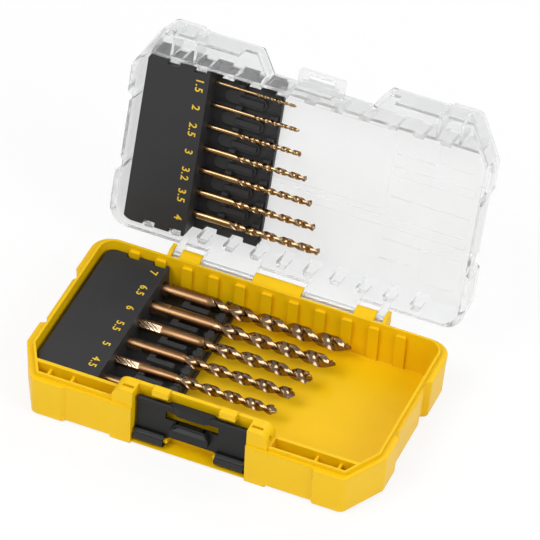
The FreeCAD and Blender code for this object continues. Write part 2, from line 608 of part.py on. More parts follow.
def rib_notches(y, inward, z0, z1):
    """Notches in a rack's long edge, which pass the ribs with clearance."""
    cuts = []
    for middle in rib_middles():
        width = RIB_WIDTH / 2 + CLEAR
        y_in = y + inward * (RIB_DEPTH + 2 * CLEAR)
        cuts.append(box(middle - width, middle + width, min(y - inward, y_in), max(y - inward, y_in), z0, z1))
    return cuts


def drill_places(drills, first, last):
    """Drills with the Y of their axes, evenly from the hinge side (first) to the latch side (last)."""
    pitch = (first - last) / (len(drills) - 1)
    return [(drill, first - i * pitch) for i, drill in enumerate(drills)]


def rack(places, front, inset, comb, bar_rise, pegs, axis, floor_z, top_z):
    """Drill rack standing on floor_z: block with sockets, deck, saddles, and tongues between the drills.

    Its outline keeps to the case's inner walls, which lie inset less the clearance inside the panels.
    """
    def outline(extra, start):
        return prism(closed_outline(plain_points(inset + extra, start)), floor_z - 1, top_z + 1)

    back = HALF_DEPTH - inset
    end = BLOCK_FACE + comb
    block = prism(rectangle(RACK_LEFT, BLOCK_FACE, front, back, 1.0), floor_z, top_z)
    edge = RIB_DEPTH + 2 * CLEAR + RACK_WALL
    hollow = box(RACK_LEFT + RACK_WALL, BLOCK_FACE - RACK_WALL, front + edge, back - edge,
                 floor_z - 1, top_z - RACK_WALL)
    block = block.cut(hollow.common(outline(RACK_WALL, front + edge)))
    deck = prism(rectangle(BLOCK_FACE - 2, end, front, back, 1.0), floor_z, floor_z + DECK)
    pieces = [block, deck]
    deck_top = floor_z + DECK - SMALL
    saddles = (BLOCK_FACE + comb * SADDLE_AT, end - SADDLE - SADDLE_END)
    for (diameter, length, flutes, reach), y in places:
        half = diameter / 2 + SOCKET_CLEAR + SADDLE_WALL
        for start in saddles:
            pieces.append(box(start, start + SADDLE, y - half, y + half, deck_top, axis))
        half = diameter / 2 + SOCKET_CLEAR + RACK_WALL
        pieces.append(box(BLOCK_FACE - (length - reach) - RACK_WALL, BLOCK_FACE - SMALL, y - half, y + half,
                          floor_z, top_z - SMALL))
    for i in range(len(places) - 1):
        middle = (places[i][1] + places[i + 1][1]) / 2
        half = TONGUE_WIDTH / 2
        tongue = prism(rectangle(BLOCK_FACE + TONGUE_AT, end - TONGUE_END, middle - half, middle + half,
                                 half - SMALL), deck_top, deck_top + TONGUE_RISE)
        bar = box(BLOCK_FACE + BAR_AT, end - BAR_END, middle - BAR_WIDTH / 2, middle + BAR_WIDTH / 2,
                  deck_top, deck_top + bar_rise)
        pieces += [tongue, bar]
        if pegs:
            foot = Vector(end - PEG_R - PEG_EDGE, middle, deck_top)
            pieces.append(Part.makeCylinder(PEG_R, axis - deck_top, foot))
    whole = fused(pieces).common(outline(0, front))
    cuts = []
    for (diameter, length, flutes, reach), y in places:
        radius = diameter / 2 + SOCKET_CLEAR
        depth = length - reach + CLEAR
        cuts.append(along_x(radius, BLOCK_FACE - depth, end + 1, y, axis))
        cuts.append(box(BLOCK_FACE, end + 1, y - radius, y + radius, axis, top_z + 1))
    for y, inward in ((back, -1), (front, 1)):
        cuts += rib_notches(y, inward, floor_z - 1, top_z + 1)
    return whole.cut(cuts)


def flute_section(diameter, x, turn, share):
    """Two-fluted section across X, turned about the axis. share shrinks it towards the point."""
    radius = diameter / 2 * share
    core = diameter / 2 * WEB_SHARE * share
    land = math.radians(LAND_HALF)
    edges = []

    def at(r, angle):
        return Vector(x, r * math.cos(angle), r * math.sin(angle))

    for side in range(2):
        start = math.radians(turn) + math.pi * side
        edges.append(Part.Arc(at(radius, start - land), at(radius, start),
                              at(radius, start + land)).toShape())
        edges.append(Part.Arc(at(radius, start + land), at(core, start + math.pi / 2),
                              at(radius, start + math.pi - land)).toShape())
    return Part.Wire(edges)


def twist_drill(diameter, length, flutes, tip_x, y, z):
    """Twist drill along X with its tip at tip_x: plain shank, two spiral flutes and a point."""
    radius = diameter / 2
    lead = math.pi * diameter / math.tan(math.radians(HELIX_ANGLE))
    point = radius / math.tan(math.radians(POINT_ANGLE / 2))
    body = flutes - point
    count = max(8, round(body / lead * 360 / FLUTES_STEP))
    sections = []
    for i in range(count + 1):
        along = body * i / count
        sections.append(flute_section(diameter, along, 360 * along / lead, 1.0))
    fluted = Part.makeLoft(sections, True, False)
    tip = Part.makeLoft([flute_section(diameter, body, 360 * body / lead, 1.0),
                         flute_section(diameter, flutes, 360 * body / lead, CHISEL_SHARE)], True, True)
    shank = Part.makeCylinder(radius, length - flutes, Vector(flutes - length, 0, 0), Vector(1, 0, 0))
    if diameter >= FLAT_FROM:
        for i in range(3):
            flat = box(flutes - length - 1, flutes - length + FLAT_LENGTH, -diameter, diameter,
                       radius * FLAT_SHARE, diameter)
            flat.rotate(Vector(0, 0, 0), Vector(1, 0, 0), 120 * i)
            shank = shank.cut(flat)
    whole = fused([shank, fluted, tip])
    whole.translate(Vector(tip_x - flutes, y, z))
    return whole


def open_lid(shape):
    shape.rotate(Vector(0, HINGE_Y, HINGE_Z), Vector(1, 0, 0), -OPEN_ANGLE)
    return shape


def node_name(diameter):
    return "drill_" + f"{diameter:.1f}".replace(".", "_")


def main():
    nodes = {"base_tray": base_tray(), "hinge_pin": hinge_pin(), "latch": latch()}
    places = drill_places(BASE_DRILLS, HALF_DEPTH - BASE_RACK_INSET - BASE_ROW_BACK,
                          BASE_RACK_FRONT + BASE_ROW_FRONT)
    nodes["base_bit_rack"] = rack(places, BASE_RACK_FRONT, BASE_RACK_INSET, BASE_COMB, BASE_BAR_RISE, True,
                                  BASE_AXIS_Z, FLOOR + SEAT_GAP, BASE_RACK_TOP)
    for (diameter, length, flutes, reach), y in places:
        nodes[node_name(diameter)] = twist_drill(diameter, length, flutes, BLOCK_FACE + reach, y, BASE_AXIS_Z)

    # The lid's rack is drawn as if it stood on a floor, then turned over onto the lid's plate.
    plate_z = LID_TOP - LID_PLATE - SEAT_GAP
    height = plate_z - LID_RACK_FACE
    nodes["lid_shell"] = open_lid(lid_shell())

    places = drill_places(LID_DRILLS, HALF_DEPTH - LID_RACK_INSET - LID_ROW_BACK,
                          LID_RACK_FRONT + LID_ROW_FRONT)
    lid_rack = rack(places, LID_RACK_FRONT, LID_RACK_INSET, LID_COMB, LID_BAR_RISE, False, LID_AXIS_RISE,
                    0.0, height)
    lid_rack = lid_rack.mirror(Vector(0, 0, 0), Vector(0, 0, 1))
    lid_rack.translate(Vector(0, 0, plate_z))
    nodes["lid_bit_rack"] = open_lid(lid_rack)
    for (diameter, length, flutes, reach), y in places:
        drill = twist_drill(diameter, length, flutes, BLOCK_FACE + reach, y, plate_z - LID_AXIS_RISE)
        nodes[node_name(diameter)] = open_lid(drill)

    os.makedirs("parts", exist_ok=True)
    for name, shape in nodes.items():
        print(name, "solids", len(shape.Solids), "valid", shape.isValid(), "volume", round(shape.Volume, 1))
        shape.exportStep(f"parts/{name}.step")


main()
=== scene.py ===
"""Looks of the drill bit case: finishes, drills, size numbers, latch trim, floor, light and camera."""
from __future__ import annotations

import logging
import math
from dataclasses import dataclass, field
from enum import Enum
from typing import NamedTuple

import bmesh
import bpy
from mathutils import Matrix, Vector

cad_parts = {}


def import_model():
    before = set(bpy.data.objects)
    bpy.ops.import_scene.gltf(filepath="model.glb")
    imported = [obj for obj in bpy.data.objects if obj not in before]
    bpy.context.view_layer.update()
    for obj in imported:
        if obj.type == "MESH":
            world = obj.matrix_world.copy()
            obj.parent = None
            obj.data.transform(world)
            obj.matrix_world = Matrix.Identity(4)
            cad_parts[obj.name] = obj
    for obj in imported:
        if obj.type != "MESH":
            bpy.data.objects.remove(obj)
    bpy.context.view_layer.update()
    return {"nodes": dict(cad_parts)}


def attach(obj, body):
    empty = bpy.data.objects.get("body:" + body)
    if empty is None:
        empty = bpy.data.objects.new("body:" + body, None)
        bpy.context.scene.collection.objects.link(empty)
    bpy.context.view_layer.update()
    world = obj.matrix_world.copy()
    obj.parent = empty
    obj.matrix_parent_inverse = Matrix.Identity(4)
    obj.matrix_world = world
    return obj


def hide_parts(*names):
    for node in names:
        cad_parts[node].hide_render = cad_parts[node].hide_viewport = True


LOG = logging.getLogger("bit_case")
MM = 0.001
# Edges sharper than this many degrees stay crisp.
CRISP_ABOVE = 35.0

Triple = tuple[float, float, float]
Pairs = tuple[tuple[float, float], ...]


class Half(Enum):
    """The half of the case that a piece belongs to, as the body of its rack."""

    BASE = "base_rack"
    LID = "lid_rack"


@dataclass(frozen=True)
class Hinge:
    """The lid's hinge line and how far the lid stands open, in millimetres and degrees."""

    y: float = 57.6
    z: float = 20.4
    open_angle: float = 105.3

    def opened(self) -> Matrix:
        """Turn from the closed lid to the open one, in metres."""
        middle = Matrix.Translation(Vector((0.0, self.y * MM, self.z * MM)))
        return middle @ Matrix.Rotation(math.radians(-self.open_angle), 4, "X") @ middle.inverted()


HINGE = Hinge()


def add_input(group: bpy.types.NodeTree, name: str, value: float) -> None:
    """Add a named number, with its starting value, to the inputs of a node group."""
    socket = group.interface.new_socket(name=name, in_out="INPUT", socket_type="NodeSocketFloat")
    socket.default_value = value


def add_output(group: bpy.types.NodeTree, name: str) -> None:
    """Add a named number to the outputs of a node group."""
    group.interface.new_socket(name=name, in_out="OUTPUT", socket_type="NodeSocketFloat")


def add_noise(tree: bpy.types.NodeTree, place: bpy.types.NodeSocket, detail: float) -> bpy.types.Node:
    """Add a noise texture.

    Args:
        tree: The node tree.
        place: The coordinates that it reads.
        detail: Its detail.

    Returns:
        The noise node.
    """
    noise = tree.nodes.new("ShaderNodeTexNoise")
    noise.inputs["Detail"].default_value = detail
    tree.links.new(place, noise.inputs["Vector"])
    return noise


def add_larger(tree: bpy.types.NodeTree, first: bpy.types.NodeSocket,
               second: bpy.types.NodeSocket) -> bpy.types.NodeSocket:
    """Add a node that gives the larger of two values.

    Args:
        tree: The node tree.
        first: One of the values.
        second: The other value.

    Returns:
        The larger value.
    """
    node = tree.nodes.new("ShaderNodeMath")
    node.operation = "MAXIMUM"
    tree.links.new(first, node.inputs[0])
    tree.links.new(second, node.inputs[1])
    return node.outputs["Value"]


def grey(tone: float) -> tuple[float, float, float, float]:
    """A neutral colour, with alpha."""
    return (tone, tone, tone, 1.0)


@dataclass
class SurfaceGroups:
    """Shader node groups that several finishes share.

    Attributes:
        grain_scale: Fineness of the moulded grain, until a finish sets its own.
        grain_detail: Detail of the grain.
        mottle_scale: Fineness of the slow mottling.
        mottle_detail: Detail of the mottling.
        line_scale: Fineness of the grinding lines, until a finish sets its own.
        line_detail: Detail of the grinding lines.
        line_stretch: Scale of the grinding lines along X, Y and Z.
        tint_scale: Fineness of the tempering tint.
        tint_detail: Detail of the tempering tint.
        grain: The group of moulded grain.
        drawn: The group of grinding lines.
    """

    grain_scale: float = 2500.0
    grain_detail: float = 2.0
    mottle_scale: float = 60.0
    mottle_detail: float = 4.0
    line_scale: float = 900.0
    line_detail: float = 3.0
    line_stretch: Triple = (4.0, 0.35, 0.35)
    tint_scale: float = 110.0
    tint_detail: float = 2.0
    grain: bpy.types.NodeTree = field(init=False)
    drawn: bpy.types.NodeTree = field(init=False)

    def __post_init__(self) -> None:
        """Build each group once."""
        self.grain = self._grain()
        self.drawn = self._drawn()

    def _grain(self) -> bpy.types.NodeTree:
        """Fine moulded grain with slow mottling.

        Returns:
            A group that puts out Height for a bump, and Mottle from 0 to 1 for colour and roughness.
        """
        group = bpy.data.node_groups.new("Moulded grain", "ShaderNodeTree")
        add_input(group, "Grain Scale", self.grain_scale)
        add_input(group, "Mottle Scale", self.mottle_scale)
        add_output(group, "Height")
        add_output(group, "Mottle")
        start = group.nodes.new("NodeGroupInput")
        end = group.nodes.new("NodeGroupOutput")
        place = group.nodes.new("ShaderNodeTexCoord").outputs["Object"]
        fine = add_noise(group, place, self.grain_detail)
        slow = add_noise(group, place, self.mottle_detail)
        group.links.new(start.outputs["Grain Scale"], fine.inputs["Scale"])
        group.links.new(start.outputs["Mottle Scale"], slow.inputs["Scale"])
        group.links.new(fine.outputs["Fac"], end.inputs["Height"])
        group.links.new(slow.outputs["Fac"], end.inputs["Mottle"])
        return group

    def _drawn(self) -> bpy.types.NodeTree:
        """Grinding lines across a drill or pin that lies along X.

        Returns:
            A group that puts out Height for a bump, and Tint from 0 to 1 for colour and roughness.
        """
        group = bpy.data.node_groups.new("Grinding lines", "ShaderNodeTree")
        add_input(group, "Line Scale", self.line_scale)
        add_output(group, "Height")
        add_output(group, "Tint")
        start = group.nodes.new("NodeGroupInput")
        end = group.nodes.new("NodeGroupOutput")
        place = group.nodes.new("ShaderNodeTexCoord").outputs["Object"]
        stretch = group.nodes.new("ShaderNodeMapping")
        stretch.inputs["Scale"].default_value = self.line_stretch
        group.links.new(place, stretch.inputs["Vector"])
        lines = add_noise(group, stretch.outputs["Vector"], self.line_detail)
        tint = add_noise(group, place, self.tint_detail)
        tint.inputs["Scale"].default_value = self.tint_scale
        group.links.new(start.outputs["Line Scale"], lines.inputs["Scale"])
        group.links.new(lines.outputs["Fac"], end.inputs["Height"])
        group.links.new(tint.outputs["Fac"], end.inputs["Tint"])
        return group


@dataclass(frozen=True)
class Finish:
    """A surface finish. Its colours are linear.

    Attributes:
        name: The material's name.
        dark: Colour in the darker patches.
        light: Colour in the lighter patches.
        smooth: Lowest roughness.
        rough: Highest roughness.
        grain: Depth of the grain, in millimetres.
        grain_scale: Fineness of the grain.
        metal: True for bare metal.
        edge: Radius of the eased edges, in millimetres.
        sheen: Strength of the plain reflection, where 0.5 is usual.
        clear: Share of the light that passes through.
        index: Index of refraction.
        bump: Strength of the grain's bump.
        edge_samples: Samples for the eased edges.
    """

    name: str
    dark: Triple
    light: Triple
    smooth: float
    rough: float
    grain: float
    grain_scale: float
    metal: bool = False
    edge: float = 0.0
    sheen: float = 0.5
    clear: float = 0.0
    index: float = 1.5
    bump: float = 0.5
    edge_samples: int = 4

    def material(self, groups: SurfaceGroups) -> bpy.types.Material:
        """Build the material.

        Args:
            groups: The shared node groups.

        Returns:
            The material, ready to assign.
        """
        material = bpy.data.materials.new(self.name)
        material.use_nodes = True
        nodes, links = material.node_tree.nodes, material.node_tree.links
        shader = nodes["Principled BSDF"]
        shader.inputs["Metallic"].default_value = 1.0 if self.metal else 0.0
        shader.inputs["Specular IOR Level"].default_value = self.sheen
        shader.inputs["Transmission Weight"].default_value = self.clear
        shader.inputs["IOR"].default_value = self.index
        texture = nodes.new("ShaderNodeGroup")
        texture.node_tree = groups.drawn if self.metal else groups.grain
        texture.inputs["Line Scale" if self.metal else "Grain Scale"].default_value = self.grain_scale
        spread = texture.outputs["Tint" if self.metal else "Mottle"]
        tone = nodes.new("ShaderNodeMix")
        tone.data_type = "RGBA"
        tone.inputs["A"].default_value = (*self.dark, 1.0)
        tone.inputs["B"].default_value = (*self.light, 1.0)
        links.new(spread, tone.inputs["Factor"])
        links.new(tone.outputs["Result"], shader.inputs["Base Color"])
        gloss = nodes.new("ShaderNodeMapRange")
        gloss.inputs["To Min"].default_value = self.smooth
        gloss.inputs["To Max"].default_value = self.rough
        links.new(spread, gloss.inputs["Value"])
        links.new(gloss.outputs["Result"], shader.inputs["Roughness"])
        relief = nodes.new("ShaderNodeBump")
        relief.inputs["Distance"].default_value = self.grain * MM
        relief.inputs["Strength"].default_value = self.bump
        links.new(texture.outputs["Height"], relief.inputs["Height"])
        links.new(relief.outputs["Normal"], shader.inputs["Normal"])
        if self.edge > 0:
            eased = nodes.new("ShaderNodeBevel")
            eased.samples = self.edge_samples
            eased.inputs["Radius"].default_value = self.edge * MM
            links.new(eased.outputs["Normal"], relief.inputs["Normal"])
        return material


YELLOW = Finish("yellow moulded plastic", dark=(0.81, 0.49, 0.001), light=(0.87, 0.545, 0.002),
                smooth=0.36, rough=0.48, grain=0.02, grain_scale=2200.0, edge=0.45, sheen=0.26)
CHARCOAL = Finish("charcoal moulded plastic", dark=(0.022, 0.022, 0.0235), light=(0.031, 0.031, 0.033),
                  smooth=0.42, rough=0.58, grain=0.03, grain_scale=2600.0, edge=0.3, sheen=0.35)
BLACK = Finish("black latch plastic", dark=(0.004, 0.004, 0.004), light=(0.008, 0.008, 0.008),
               smooth=0.36, rough=0.5, grain=0.02, grain_scale=2400.0, edge=0.3, sheen=0.3)
CLEAR = Finish("clear polished plastic", dark=(0.88, 0.885, 0.89), light=(0.92, 0.925, 0.925),
               smooth=0.06, rough=0.13, grain=0.004, grain_scale=400.0, clear=0.87, index=1.13)
BRONZE = Finish("bronze tempered steel", dark=(0.17, 0.10, 0.055), light=(0.40, 0.275, 0.165),
                smooth=0.12, rough=0.24, grain=0.015, grain_scale=900.0, metal=True)
SHANK = Finish("brown tempered steel", dark=(0.20, 0.105, 0.046), light=(0.36, 0.21, 0.105),
               smooth=0.28, rough=0.4, grain=0.015, grain_scale=900.0, metal=True)
GOLD = Finish("gold tempered steel", dark=(0.24, 0.14, 0.06), light=(0.47, 0.31, 0.165),
              smooth=0.12, rough=0.24, grain=0.015, grain_scale=900.0, metal=True)
GRIP = Finish("bright ground steel", dark=(0.62, 0.47, 0.32), light=(0.80, 0.65, 0.48),
              smooth=0.2, rough=0.34, grain=0.015, grain_scale=900.0, metal=True)
STEEL = Finish("satin steel", dark=(0.80, 0.80, 0.80), light=(0.88, 0.88, 0.88),
               smooth=0.5, rough=0.65, grain=0.01, grain_scale=900.0, metal=True)
PRINT = Finish("yellow print", dark=(0.72, 0.46, 0.02), light=(0.80, 0.54, 0.03),
               smooth=0.45, rough=0.6, grain=0.01, grain_scale=3000.0)

# The finish of the flutes and that of the shank, in each half.
DRILL_FINISHES = {Half.BASE: (BRONZE, SHANK), Half.LID: (GOLD, GOLD)}


def new_piece(name: str, bm: bmesh.types.BMesh, *materials: bpy.types.Material) -> bpy.types.Object:
    """Make an object at the origin from a finished bmesh.

    Args:
        name: The piece's name.
        bm: The mesh, in place. It is freed.
        materials: The piece's materials, in the order of its faces' indices.

    Returns:
        The new object.
    """
    mesh = bpy.data.meshes.new(name)
    for face in bm.faces:
        face.smooth = True
    bm.to_mesh(mesh)
    bm.free()
    mesh.set_sharp_from_angle(angle=math.radians(CRISP_ABOVE))
    for material in materials:
        mesh.materials.append(material)
    piece = bpy.data.objects.new(name, mesh)
    bpy.context.scene.collection.objects.link(piece)
    return piece


def extrude_rim(bm: bmesh.types.BMesh, rim: list[bmesh.types.BMEdge],
                along: float) -> tuple[list[bmesh.types.BMVert], list[bmesh.types.BMEdge]]:
    """Draw an open rim out along X.

    Args:
        bm: The mesh.
        rim: Edges of the rim.
        along: How far the new rim lies from the old one, in metres.

    Returns:
        Points and edges of the new rim.
    """
    made = bmesh.ops.extrude_edge_only(bm, edges=rim)["geom"]
    verts = [item for item in made if isinstance(item, bmesh.types.BMVert)]
    edges = [item for item in made
             if isinstance(item, bmesh.types.BMEdge) and all(vert in verts for vert in item.verts)]
    bmesh.ops.translate(bm, vec=(along, 0, 0), verts=verts)
    return verts, edges


@dataclass
class TwistDrill:
    """One twist drill along X, in millimetres and degrees.

    It is shaped with the start of its shank at the origin, and then put in its place.

    Attributes:
        size: Nominal diameter.
        length: Overall length.
        flutes: Length of the spiral part with its point.
        tip: X of the tip.
        y: Y of the axis with the lid closed.
        z: Z of the axis with the lid closed.
        half: The half of the case that holds it.
        tip_turn: Turn of the lands at the tip about the axis.
        flat_turn: Turn of the first flat from upright.
        helix: Helix angle of the flutes at the tip.
        near_lead: Lead of the flutes at the shank, as a share of the lead at the tip.
        land: Half the angle of a land round the section.
        land_steps: Steps round a land.
        margin_steps: Steps of a land that keep the full radius.
        relief: Radius of the rest of a land, as a share of the full radius.
        web: Distance of a flute's bottom from the axis at the tip, in radii.
        flute_steps: Steps round a flute.
        near_fill: How far the flutes are filled at the shank, from 0 to 1.
        run_out: Length over which the flutes run out into the shank, in radii.
        sweep_turn: Turn of one step of the sweep.
        least_steps: Fewest steps of the sweep.
        pilot_point: Steps of a large drill's point, as length in radii and share of the width before.
        plain_point: The same for a small drill.
        chamfer: Length of the chamfer at the shank's end, in radii.
        chamfer_share: Share of the width that the chamfer leaves.
        shank_reach: How far the shank's finish reaches onto the flutes, in diameters.
        flats_from: Size from which drills have flats and a pilot.
        flats: Number of flats.
        flat_length: Length of the flats.
        flat_share: Distance of the flats from the axis, in radii.
        flat_slope: Length of the slope down to the flats, in radii.
        flat_match: Least cosine between a flat's way and the normal of a face on it.
        ridge_pitch: Spacing of the grip ridges along X.
        ridge_slope: How far a ridge runs along X for each length across the flat.
        ridge_half: Half the width of a ridge.
        ridge_rise: Height of a ridge.
        ridge_span: Share of the flat's width that a ridge spans.
        ridge_margin: Bare length at each end of a flat, in radii.
    """

    size: float
    length: float
    flutes: float
    tip: float
    y: float
    z: float
    half: Half
    tip_turn: float
    flat_turn: float
    helix: float
    near_lead: float
    land: float = 31.0
    land_steps: int = 10
    margin_steps: int = 3
    relief: float = 0.972
    web: float = 0.28
    flute_steps: int = 22
    near_fill: float = 0.45
    run_out: float = 1.7
    sweep_turn: float = 9.0
    least_steps: int = 12
    pilot_point: Pairs = ((0.2, 0.62), (0.4, 0.85), (0.3, 0.12))
    plain_point: Pairs = ((0.4, 0.08),)
    chamfer: float = 0.12
    chamfer_share: float = 0.9
    shank_reach: float = 0.4
    flats_from: float = 4.5
    flats: int = 3
    flat_length: float = 17.0
    flat_share: float = 0.82
    flat_slope: float = 0.4
    flat_match: float = 0.998
    ridge_pitch: float = 2.3
    ridge_slope: float = 1.7
    ridge_half: float = 0.22
    ridge_rise: float = 0.16
    ridge_span: float = 0.94
    ridge_margin: float = 0.3

    @property
    def node(self) -> str:
        """Name of the CAD node that this drill stands for."""
        return "drill_" + f"{self.size:.1f}".replace(".", "_")

    @property
    def body(self) -> str:
        """Name of the body that this drill rides on."""
        return self.node.replace("drill", "bit")

    @property
    def radius(self) -> float:
        """Radius in metres."""
        return self.size / 2 * MM

    @property
    def shank_length(self) -> float:
        """Length of the shank in metres."""
        return (self.length - self.flutes) * MM

    @property
    def large(self) -> bool:
        """True for a drill with flats and a pilot."""
        return self.size >= self.flats_from

    @property
    def point_steps(self) -> Pairs:
        """Each step of the point, as length in radii and share of the width before."""
        return self.pilot_point if self.large else self.plain_point

    def section(self) -> list[tuple[float, float]]:
        """Work out the fluted section: two lands, and two flutes that are arcs of a circle.

        Returns:
            Angle and share of the radius for each point round the section.
        """
        edge = math.radians(self.land)
        centre = (1 - self.web ** 2) / (2 * (math.sin(edge) - self.web))
        hollow = centre - self.web
        points: list[tuple[float, float]] = []
        for side in range(2):
            for i in range(self.land_steps):
                angle = -edge + 2 * edge * i / self.land_steps
                share = 1.0 if i < self.margin_steps else self.relief
                points.append((math.pi * side + angle, share))
            for i in range(self.flute_steps):
                angle = edge + (math.pi - 2 * edge) * i / self.flute_steps
                rise = centre * math.sin(angle)
                share = rise - math.sqrt(max(0.0, rise ** 2 - centre ** 2 + hollow ** 2))
                points.append((math.pi * side + angle, min(1.0, share)))
        return points

    def build(self, material: bpy.types.Material, grip: bpy.types.Material,
              shank: bpy.types.Material) -> bpy.types.Object:
        """Build the drill: flutes, point, shank and grip.

        Args:
            material: Material of the fluted part.
            grip: Material of the flats.
            shank: Material of the shank.

        Returns:
            The drill, riding on its body in place of its CAD node.
        """
        bm = bmesh.new()
        first, last = self._sweep(bm)
        self._point(bm, last)
        self._run_out(bm)
        self._shank(bm, first)
        bmesh.ops.recalc_face_normals(bm, faces=bm.faces)
        self._ridges(bm)
        self._mark(bm)
        place = Matrix.Translation(Vector((self.tip - self.flutes, self.y, self.z)) * MM)
        if self.half is Half.LID:
            place = HINGE.opened() @ place
        bmesh.ops.transform(bm, matrix=place, verts=bm.verts)
        piece = new_piece("spiral_" + self.node, bm, material, grip, shank)
        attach(piece, self.body)
        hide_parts(self.node)
        return piece

    def _sweep(self, bm: bmesh.types.BMesh) -> tuple[list[bmesh.types.BMEdge], list[bmesh.types.BMEdge]]:
        """Sweep the fluted section along its helix, from the shank to the point.

        Args:
            bm: The drill's mesh, empty so far.

        Returns:
            Edges of the first section and of the last one.
        """
        lead = math.pi * self.size / math.tan(math.radians(self.helix)) * MM
        cone = self.radius * sum(along for along, _ in self.point_steps)
        swept = self.flutes * MM - cone
        turn = 2 * math.pi * swept / lead
        steps = max(self.least_steps, round(turn / math.radians(self.sweep_turn)))
        section = self.section()
        across = Matrix.Rotation(math.radians(90), 4, "Y")
        circle = bmesh.ops.create_circle(bm, segments=len(section), radius=self.radius, matrix=across)
        begin = math.radians(self.tip_turn) - turn
        for vert, (angle, share) in zip(circle["verts"], section):
            vert.co = Vector((0.0, math.cos(angle + begin), math.sin(angle + begin))) * self.radius * share
        first = list(bm.edges)
        result = bmesh.ops.spin(bm, geom=first, cent=(0, 0, 0), axis=(1, 0, 0), dvec=(swept / steps, 0, 0),
                                angle=turn, steps=steps, use_merge=False)
        last = [item for item in result["geom_last"] if isinstance(item, bmesh.types.BMEdge)]
        self._tighten(bm, swept, turn)
        return first, last

    def _tighten(self, bm: bmesh.types.BMesh, swept: float, turn: float) -> None:
        """Wind the flutes tighter and shallower towards the shank, with the tip as it is.

        Args:
            bm: The drill's mesh, swept with one lead.
            swept: Length of the sweep.
            turn: Turn of the sweep.
        """
        for vert in bm.verts:
            back = 1 - vert.co.x / swept
            extra = -turn * (1 / self.near_lead - 1) * back * back / 2
            vert.co.rotate(Matrix.Rotation(extra, 3, "X"))
            self._fill(vert, self.near_fill * back)

    def _fill(self, vert: bmesh.types.BMVert, share: float) -> None:
        """Move a point of the flutes out towards the full round.

        Args:
            vert: The point.
            share: How far it goes, from 0 to 1.
        """
        across = Vector((0.0, vert.co.y, vert.co.z))
        filled = across.lerp(across.normalized() * self.radius, share)
        vert.co = Vector((vert.co.x, filled.y, filled.z))

    def _point(self, bm: bmesh.types.BMesh, edges: list[bmesh.types.BMEdge]) -> None:
        """Draw the last section in to the lips, the pilot of a large drill and the chisel edge.

        Args:
            bm: The drill's mesh.
            edges: Edges of the last section.
        """
        rim = edges
        for along, share in self.point_steps:
            verts, rim = extrude_rim(bm, rim, along * self.radius)
            bmesh.ops.scale(bm, vec=(1, share, share), verts=verts)
        bmesh.ops.contextual_create(bm, geom=rim)

    def _run_out(self, bm: bmesh.types.BMesh) -> None:
        """Let the flutes run out into the round shank.

        Args:
            bm: The drill's mesh.
        """
        fade = self.run_out * self.radius
        for vert in bm.verts:
            if vert.co.x < fade:
                share = max(0.0, vert.co.x / fade)
                eased = share * share * (3 - 2 * share)
                self._fill(vert, 1 - eased)

    def _shank(self, bm: bmesh.types.BMesh, edges: list[bmesh.types.BMEdge]) -> None:
        """Draw the first section back into the shank, with flats on a large drill.

        Args:
            bm: The drill's mesh.
            edges: Edges of the first section.
        """
        total = self.shank_length
        flats = self.flat_length * MM if self.large else 0.0
        stops = [total - flats - self.flat_slope * self.radius, total - flats] if self.large else []
        stops += [total - self.chamfer * self.radius, total]
        at = 0.0
        rim = edges
        for stop in stops:
            verts, rim = extrude_rim(bm, rim, at - stop)
            at = stop
            if self.large and stop >= total - flats:
                self._flatten(verts)
        bmesh.ops.scale(bm, vec=(1, self.chamfer_share, self.chamfer_share), verts=verts)
        bmesh.ops.contextual_create(bm, geom=rim)

    def _flat_ways(self) -> list[Vector]:
        """The ways that the flats face."""
        turns = [math.radians(self.flat_turn + 360 / self.flats * i) for i in range(self.flats)]
        return [Vector((0.0, -math.sin(turn), math.cos(turn))) for turn in turns]

    def _flatten(self, verts: list[bmesh.types.BMVert]) -> None:
        """Bring the points of a ring in to the flats.

        Args:
            verts: Points of the ring.
        """
        for vert in verts:
            for way in self._flat_ways():
                over = vert.co.dot(way) - self.flat_share * self.radius
                if over > 0:
                    vert.co -= way * over

    def _mark(self, bm: bmesh.types.BMesh) -> None:
        """Give the flats the second material and the rest of the shank the third.

        Args:
            bm: The drill's mesh.
        """
        begin = self.flat_length * MM - self.shank_length
        ways = self._flat_ways() if self.large else []
        for face in bm.faces:
            x = face.calc_center_median().x
            if x < begin and any(face.normal.dot(way) > self.flat_match for way in ways):
                face.material_index = 1
            elif x < self.shank_reach * self.size * MM:
                face.material_index = 2

    def _ridges(self, bm: bmesh.types.BMesh) -> None:
        """Stand slanting grip ridges on the flats of a large drill.

        Args:
            bm: The drill's mesh.
        """
        if not self.large:
            return
        depth = self.flat_share * self.radius
        half = self.ridge_span * math.sqrt(self.radius ** 2 - depth ** 2)
        margin = self.ridge_margin * self.radius
        begin = margin - self.shank_length
        end = begin + self.flat_length * MM - 2 * margin
        run = 2 * half * self.ridge_slope
        pitch = self.ridge_pitch * MM
        for way in self._flat_ways():
            side = Vector((0.0, way.z, -way.y))
            at = begin - run + pitch
            while at < end - pitch:
                shares = (max(0.0, (begin - at) / run), min(1.0, (end - at) / run))
                ends = [Vector((at + run * share, 0, 0)) + side * half * (1 - 2 * share) + way * depth
                        for share in shares]
                self._ridge(bm, ends, way)
                at += pitch

    def _ridge(self, bm: bmesh.types.BMesh, ends: list[Vector], way: Vector) -> None:
        """Stand one three-sided ridge on a flat.

        Args:
            bm: The drill's mesh.
            ends: Both ends of its foot.
            way: The way that the flat faces.
        """
        across = (ends[1] - ends[0]).cross(way).normalized() * self.ridge_half * MM
        rise = way * self.ridge_rise * MM
        verts = [bm.verts.new(end + step) for end in ends for step in (across, -across, rise)]
        bmesh.ops.convex_hull(bm, input=verts)


